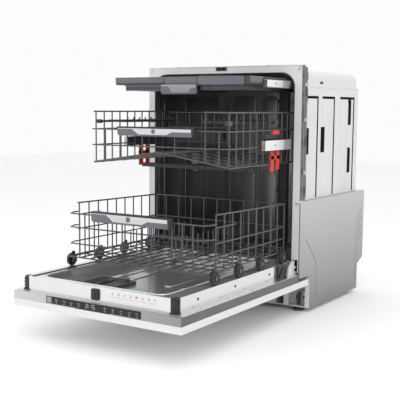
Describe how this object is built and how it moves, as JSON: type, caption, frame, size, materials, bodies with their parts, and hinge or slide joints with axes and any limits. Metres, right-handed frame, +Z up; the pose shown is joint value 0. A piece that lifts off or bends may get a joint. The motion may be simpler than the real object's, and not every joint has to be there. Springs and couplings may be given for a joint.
{
  "type": "built-in dishwasher",
  "caption": "Built-in dishwasher with its door lying open, two wire racks and a cutlery tray drawn out on slides, folding shelves and tines, spray arms and a steel tub.",
  "frame": {"origin": "on the floor, under the middle of the overall box", "axes": "+X to the right seen from in front, +Y back into the kitchen unit, +Z up; the open door points along -Y"},
  "size_m": [0.598, 1.2274, 0.82],
  "materials": {
    "tub_steel": "satin stainless",
    "frame_steel": "pale satin coating",
    "gasket_rubber": "matte",
    "white_shell": "moulded white",
    "panel_steel": "plain zinc-coated steel",
    "white_paint": "white paint",
    "base_plastic": "light grey moulded",
    "bracket_steel": "white coated steel",
    "foot_plastic": "dark",
    "ballast": "cast",
    "side_grey": "dark grey",
    "control_grey": "satin grey",
    "black_glass": "gloss black",
    "polished_steel": "bright stainless",
    "black_plastic": "satin black",
    "dark_plastic": "satin",
    "filter_steel": "pressed stainless",
    "rail_steel": "satin",
    "screw_steel": "bright",
    "wire_grey": "grey nylon coating",
    "grip_grey": "blue-grey satin",
    "wheel_plastic": "dark grey",
    "red_plastic": "red"
  },
  "bodies": {
    "cabinet": {"tub": "tub_steel", "front_frame": "frame_steel", "tub_gasket": "gasket_rubber", "shell_left": "white_shell", "shell_right": "white_shell", "shell_top": "white_shell", "rear_cover": "frame_steel", "side_panel_left": "panel_steel", "side_panel_right": "panel_steel", "base_frame": "base_plastic", "leg_brackets": "bracket_steel", "feet": "foot_plastic", "counterweight": "ballast", "hinges": "bracket_steel", "door_outer_panel": "white_paint", "door_side_frame": "side_grey", "control_panel": "control_grey", "touch_display": "black_glass", "door_inner_panel": "polished_steel", "door_trim": "black_plastic", "dispenser_body": "dark_plastic", "frame_latch": "black_plastic", "sump_body": "dark_plastic", "filter_plate": "filter_steel", "pump_set": "dark_plastic", "water_duct": "dark_plastic", "rack_rails": "rail_steel", "screws": "screw_steel"},
    "lower_rack": {"lower_rack_floor": "wire_grey", "lower_rack_front": "wire_grey", "lower_rack_rear": "wire_grey", "lower_rack_left": "wire_grey", "lower_rack_right": "wire_grey", "lower_rack_handle": "grip_grey"},
    "wheel_axle_1": {"wheels_1": "wheel_plastic"},
    "wheel_axle_2": {"wheels_2": "wheel_plastic"},
    "wheel_axle_3": {"wheels_3": "wheel_plastic"},
    "wheel_axle_4": {"wheels_4": "wheel_plastic"},
    "tine_row_left": {"tines_left": "wire_grey"},
    "tine_row_right": {"tines_right": "wire_grey"},
    "upper_rack": {"upper_rack_slope_left": "wire_grey", "upper_rack_slope_right": "wire_grey", "upper_rack_spine": "wire_grey", "upper_rack_front": "wire_grey", "upper_rack_rear": "wire_grey", "upper_rack_left": "wire_grey", "upper_rack_right": "wire_grey", "upper_rack_handle": "grip_grey", "height_adjusters": "red_plastic", "upper_rack_slides": "rail_steel"},
    "shelf_left": {"cup_shelf_left": "black_plastic"},
    "shelf_right": {"cup_shelf_right": "black_plastic"},
    "middle_arm": {"middle_spray_arm": "black_plastic"},
    "tray": {"cutlery_tray": "grip_grey", "tray_slides": "rail_steel"},
    "tray_insert": {"tray_wing": "grip_grey"},
    "lower_arm": {"lower_spray_arm": "black_plastic"},
    "top_arm": {"top_spray_arm": "black_plastic"},
    "detergent_lid": {"dispenser_lid": "dark_plastic"},
    "filter_cup": {"filter_cylinder": "dark_plastic"}
  },
  "joints": [
    {"name": "lower_rack_slide", "type": "slide", "parent": "cabinet", "child": "lower_rack", "axis": [0, 1, 0], "range_m": [0, 0.462]},
    {"name": "wheel_spin_1", "type": "hinge", "parent": "lower_rack", "child": "wheel_axle_1", "pos_m": [0, -0.39435, 0.2052], "axis": [-1, 0, 0], "range_deg": [-5, 1375]},
    {"name": "wheel_spin_2", "type": "hinge", "parent": "lower_rack", "child": "wheel_axle_2", "pos_m": [0, -0.25835, 0.2052], "axis": [-1, 0, 0], "range_deg": [-5, 1375]},
    {"name": "wheel_spin_3", "type": "hinge", "parent": "lower_rack", "child": "wheel_axle_3", "pos_m": [0, -0.12635, 0.2052], "axis": [-1, 0, 0], "range_deg": [-5, 1375]},
    {"name": "wheel_spin_4", "type": "hinge", "parent": "lower_rack", "child": "wheel_axle_4", "pos_m": [0, 0.01765, 0.2052], "axis": [-1, 0, 0], "range_deg": [-5, 1375]},
    {"name": "tine_fold_left", "type": "hinge", "parent": "lower_rack", "child": "tine_row_left", "pos_m": [-0.095, -0.13635, 0.2295], "axis": [0, 1, 0], "range_deg": [0, 87]},
    {"name": "tine_fold_right", "type": "hinge", "parent": "lower_rack", "child": "tine_row_right", "pos_m": [0.095, -0.13635, 0.2295], "axis": [0, -1, 0], "range_deg": [0, 87]},
    {"name": "upper_rack_slide", "type": "slide", "parent": "cabinet", "child": "upper_rack", "axis": [0, 1, 0], "range_m": [0, 0.388]},
    {"name": "shelf_fold_left", "type": "hinge", "parent": "upper_rack", "child": "shelf_left", "pos_m": [-0.238, -0.13635, 0.636], "axis": [0, -1, 0], "range_deg": [0, 85]},
    {"name": "shelf_fold_right", "type": "hinge", "parent": "upper_rack", "child": "shelf_right", "pos_m": [0.238, -0.13635, 0.636], "axis": [0, 1, 0], "range_deg": [0, 85]},
    {"name": "middle_arm_spin", "type": "hinge", "parent": "upper_rack", "child": "middle_arm", "pos_m": [0, -0.08635, 0.49], "axis": [0, 0, 1], "continuous": true},
    {"name": "tray_slide", "type": "slide", "parent": "cabinet", "child": "tray", "axis": [0, 1, 0], "range_m": [0, 0.27]},
    {"name": "tray_insert_slide", "type": "slide", "parent": "tray", "child": "tray_insert", "axis": [1, 0, 0], "range_m": [0, 0.088]},
    {"name": "lower_arm_spin", "type": "hinge", "parent": "cabinet", "child": "lower_arm", "pos_m": [0, 0.29865, 0.1975], "axis": [0, 0, 1], "continuous": true},
    {"name": "top_arm_spin", "type": "hinge", "parent": "cabinet", "child": "top_arm", "pos_m": [0, 0.29865, 0.7844], "axis": [0, 0, 1], "continuous": true},
    {"name": "detergent_lid_slide", "type": "slide", "parent": "cabinet", "child": "detergent_lid", "axis": [1, 0, 0], "range_m": [0, 0.05]},
    {"name": "filter_twist", "type": "hinge", "parent": "cabinet", "child": "filter_cup", "pos_m": [0.04, 0.26565, 0.14], "axis": [0, 0, 1], "range_deg": [0, 70]}
  ],
  "couplings": [
    {"joint": "wheel_spin_1", "follows": "lower_rack_slide", "rad_per_m": 51.282},
    {"joint": "wheel_spin_2", "follows": "lower_rack_slide", "rad_per_m": 51.282},
    {"joint": "wheel_spin_3", "follows": "lower_rack_slide", "rad_per_m": 51.282},
    {"joint": "wheel_spin_4", "follows": "lower_rack_slide", "rad_per_m": 51.282}
  ]
}
